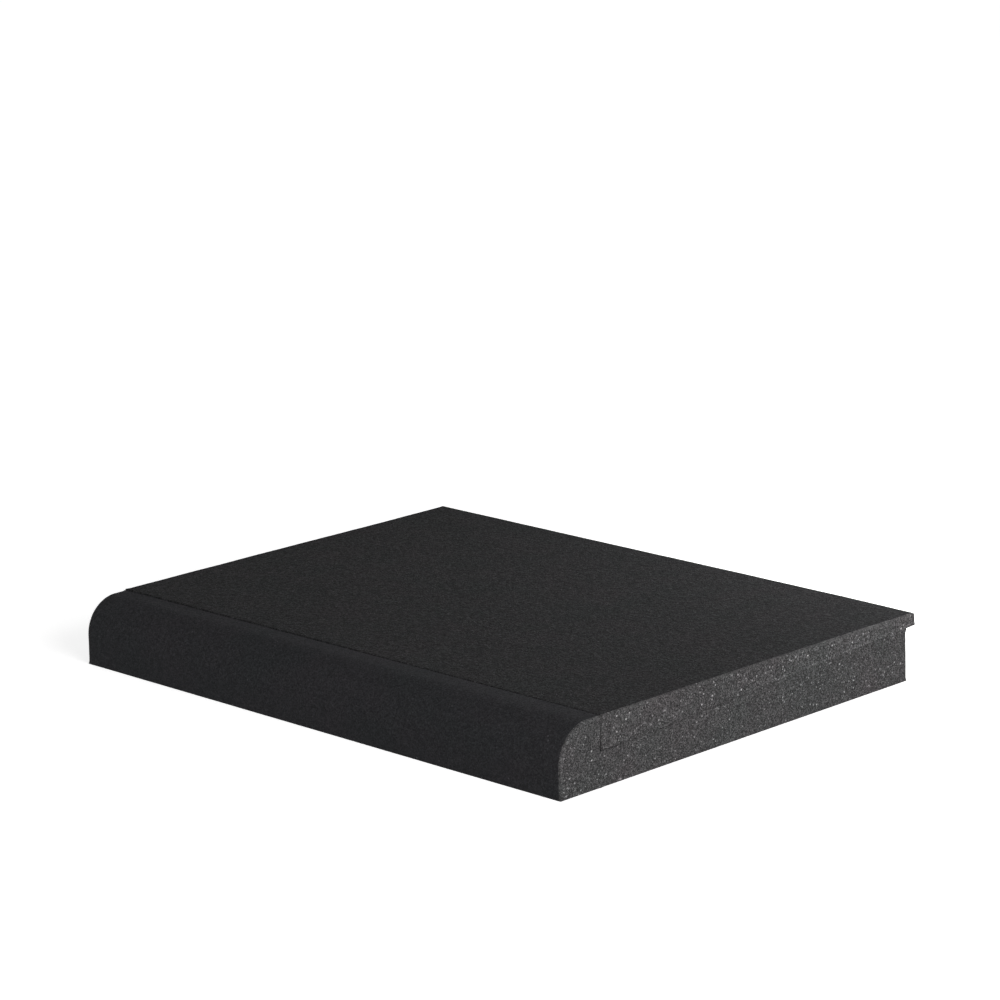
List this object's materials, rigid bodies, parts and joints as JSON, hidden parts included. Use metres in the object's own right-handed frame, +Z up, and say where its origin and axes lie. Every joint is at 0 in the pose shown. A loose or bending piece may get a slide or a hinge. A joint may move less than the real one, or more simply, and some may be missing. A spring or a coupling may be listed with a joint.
{
  "type": "speaker isolation pad",
  "caption": "Foam isolation pad for a desktop speaker: a base with a rounded front and a ramped recess, and a loose wedge seated in it that makes the top level.",
  "frame": {"origin": "middle of the bounding box's lower face, on the surface that the pad stands on", "axes": "+X runs along the width, +Y runs from the rounded front to the rear, +Z is up"},
  "size_m": [0.38, 0.2936, 0.0395],
  "materials": {
    "base_foam": "matt charcoal open-cell foam",
    "wedge_foam": "matt charcoal open-cell foam"
  },
  "bodies": {
    "root": {"base_pad": "base_foam", "wedge_insert": "wedge_foam"}
  },
  "joints": []
}
